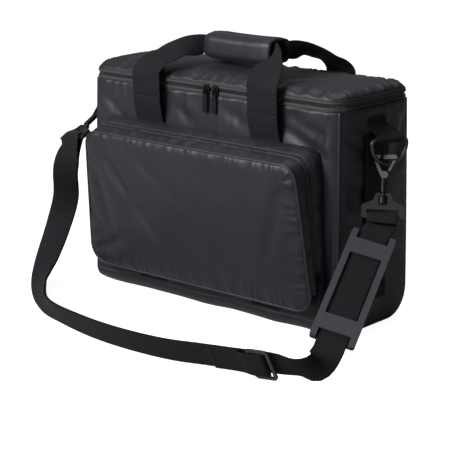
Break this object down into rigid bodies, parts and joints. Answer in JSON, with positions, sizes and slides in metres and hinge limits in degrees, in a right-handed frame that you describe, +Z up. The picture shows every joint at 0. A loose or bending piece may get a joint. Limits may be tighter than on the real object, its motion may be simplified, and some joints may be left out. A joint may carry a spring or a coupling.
{
  "type": "flight bag",
  "caption": "Soft box flight bag with a zipped lid, a zipped front pocket, two wrapped carry handles and a padded shoulder strap clipped to D-rings.",
  "frame": {"origin": "centre of the body's footprint, on the floor it stands on", "axes": "+Z up, -Y towards the front pocket, +X towards the end with the pad (the right-hand end seen from the front)"},
  "size_m": [0.6309, 0.3934, 0.371],
  "materials": {
    "nylon": "black coated nylon, satin",
    "lining": "grey woven lining, matte",
    "webbing": "black ribbed nylon webbing, matte",
    "zip_tape": "black zip tape and coil, matte",
    "board": "stiffener board, matte",
    "gunmetal": "dark plated steel, satin",
    "black_plastic": "black moulded plastic, semi-gloss",
    "pad_rubber": "dark grey moulded rubber, matte"
  },
  "bodies": {
    "root": {"front_panel": "nylon", "back_panel": "nylon", "bottom_panel": "nylon", "left_end_panel": "nylon", "right_end_panel": "nylon", "left_piping": "nylon", "right_piping": "nylon", "base_board": "board", "inner_lining": "lining", "front_load_webbing_left": "webbing", "front_load_webbing_right": "webbing", "back_load_webbing_left": "webbing", "back_load_webbing_right": "webbing", "left_end_webbing": "webbing", "right_end_webbing": "webbing", "body_zip_tape": "zip_tape", "lid_hinge_strip": "nylon", "pocket_back_gusset": "nylon", "pocket_zip_tape_back": "zip_tape", "pocket_floor": "nylon", "left_ring_tab": "webbing", "right_ring_tab": "webbing"},
    "lid": {"lid_panel": "nylon", "lid_zip_tape": "zip_tape", "lid_lining": "lining"},
    "front_handle_straps": {"front_handle_strap_left": "webbing", "front_handle_strap_right": "webbing"},
    "front_handle_grip": {"front_handle_loop": "webbing", "grip_wrap_front": "nylon"},
    "back_handle": {"back_handle_webbing": "webbing", "grip_wrap_back": "nylon"},
    "main_slider_left": {"main_zip_slider_left": "gunmetal"},
    "main_pull_left": {"main_zip_pull_left": "gunmetal"},
    "main_slider_right": {"main_zip_slider_right": "gunmetal"},
    "main_pull_right": {"main_zip_pull_right": "gunmetal"},
    "pocket_front": {"pocket_front_panel": "nylon", "pocket_piping": "nylon", "pocket_front_gusset": "nylon", "pocket_zip_tape_front": "zip_tape"},
    "pocket_slider": {"pocket_zip_slider": "gunmetal"},
    "pocket_pull": {"pocket_zip_pull": "gunmetal"},
    "left_ring": {"left_d_ring": "gunmetal"},
    "right_ring": {"right_d_ring": "gunmetal"},
    "strap": {"strap_webbing": "webbing", "left_swivel_base": "black_plastic", "right_swivel_base": "black_plastic"},
    "left_hook": {"left_snap_hook": "gunmetal"},
    "right_hook": {"right_snap_hook": "gunmetal"},
    "left_gate": {"left_hook_gate": "gunmetal"},
    "right_gate": {"right_hook_gate": "gunmetal"},
    "pad": {"shoulder_pad": "pad_rubber"},
    "glide": {"tri_glide": "black_plastic", "strap_end_loop": "webbing"}
  },
  "joints": [
    {"name": "lid_open", "type": "hinge", "parent": "root", "child": "lid", "pos_m": [0, 0.08, 0.308], "axis": [-1, 0, 0], "range_deg": [0, 94]},
    {"name": "front_handle_fold", "type": "hinge", "parent": "root", "child": "front_handle_straps", "pos_m": [0, -0.084, 0.25], "axis": [1, 0, 0], "range_deg": [0, 88.5]},
    {"name": "front_grip_fold", "type": "hinge", "parent": "front_handle_straps", "child": "front_handle_grip", "pos_m": [0, -0.093, 0.314], "axis": [1, 0, 0], "range_deg": [0, 96]},
    {"name": "back_handle_fold", "type": "hinge", "parent": "root", "child": "back_handle", "pos_m": [0, 0.084, 0.25], "axis": [-1, 0, 0], "range_deg": [0, 153]},
    {"name": "main_zip_left_run", "type": "slide", "parent": "root", "child": "main_slider_left", "axis": [-1, 0, 0], "range_m": [0, 0.18]},
    {"name": "main_pull_left_lift", "type": "hinge", "parent": "main_slider_left", "child": "main_pull_left", "pos_m": [-0.002, -0.0842, 0.3036], "axis": [-1, 0, 0], "range_deg": [0, 110]},
    {"name": "main_zip_right_run", "type": "slide", "parent": "root", "child": "main_slider_right", "axis": [1, 0, 0], "range_m": [0, 0.17]},
    {"name": "main_pull_right_lift", "type": "hinge", "parent": "main_slider_right", "child": "main_pull_right", "pos_m": [0.014, -0.0842, 0.3036], "axis": [-1, 0, 0], "range_deg": [0, 110]},
    {"name": "pocket_open", "type": "hinge", "parent": "root", "child": "pocket_front", "pos_m": [0, -0.103, 0.038], "axis": [1, 0, 0], "range_deg": [0, 60]},
    {"name": "pocket_zip_run", "type": "slide", "parent": "root", "child": "pocket_slider", "axis": [-0.0642, -0.0613, 0.996], "range_m": [0, 0.118]},
    {"name": "pocket_pull_lift", "type": "hinge", "parent": "pocket_slider", "child": "pocket_pull", "pos_m": [0.20316, -0.0945, 0.0828], "axis": [0, -1, 0], "range_deg": [0, 110]},
    {"name": "left_ring_tilt", "type": "hinge", "parent": "root", "child": "left_ring", "pos_m": [-0.244, -0.008, 0.258], "axis": [0.4226, 0.9063, 0], "range_deg": [0, 6]},
    {"name": "right_ring_tilt", "type": "hinge", "parent": "root", "child": "right_ring", "pos_m": [0.244, -0.008, 0.258], "axis": [-0.4226, -0.9063, 0], "range_deg": [0, 6]},
    {"name": "strap_swing", "type": "hinge", "parent": "root", "child": "strap", "pos_m": [0, -0.008, 0.252], "axis": [1, 0, 0], "range_deg": [-17, 0]},
    {"name": "left_hook_swivel", "type": "hinge", "parent": "strap", "child": "left_hook", "pos_m": [-0.25317, -0.02766, 0.2386], "axis": [0.0172, -0.8857, -0.4639], "range_deg": [-9, 9]},
    {"name": "right_hook_swivel", "type": "hinge", "parent": "strap", "child": "right_hook", "pos_m": [0.24176, -0.01281, 0.22706], "axis": [0.1835, -0.3177, -0.9303], "range_deg": [-9, 9]},
    {"name": "left_gate_press", "type": "hinge", "parent": "left_hook", "child": "left_gate", "pos_m": [-0.24717, -0.03672, 0.23542], "axis": [-0.2316, -0.4549, 0.8599], "range_deg": [0, 16]},
    {"name": "right_gate_press", "type": "hinge", "parent": "right_hook", "child": "right_gate", "pos_m": [0.24924, -0.01411, 0.21866], "axis": [0.242, -0.9026, 0.356], "range_deg": [0, 16]},
    {"name": "pad_slide", "type": "slide", "parent": "strap", "child": "pad", "axis": [-0.2243, 0.8013, 0.5546], "range_m": [0, 0.005]},
    {"name": "glide_slide", "type": "slide", "parent": "strap", "child": "glide", "axis": [-0.9859, -0.1577, -0.0562], "range_m": [0, 0.05]}
  ],
  "couplings": [
    {"joint": "front_handle_fold", "follows": "lid_open", "ratio": 0.93},
    {"joint": "front_grip_fold", "follows": "lid_open", "ratio": 1},
    {"joint": "back_handle_fold", "follows": "lid_open", "ratio": 1.6}
  ]
}
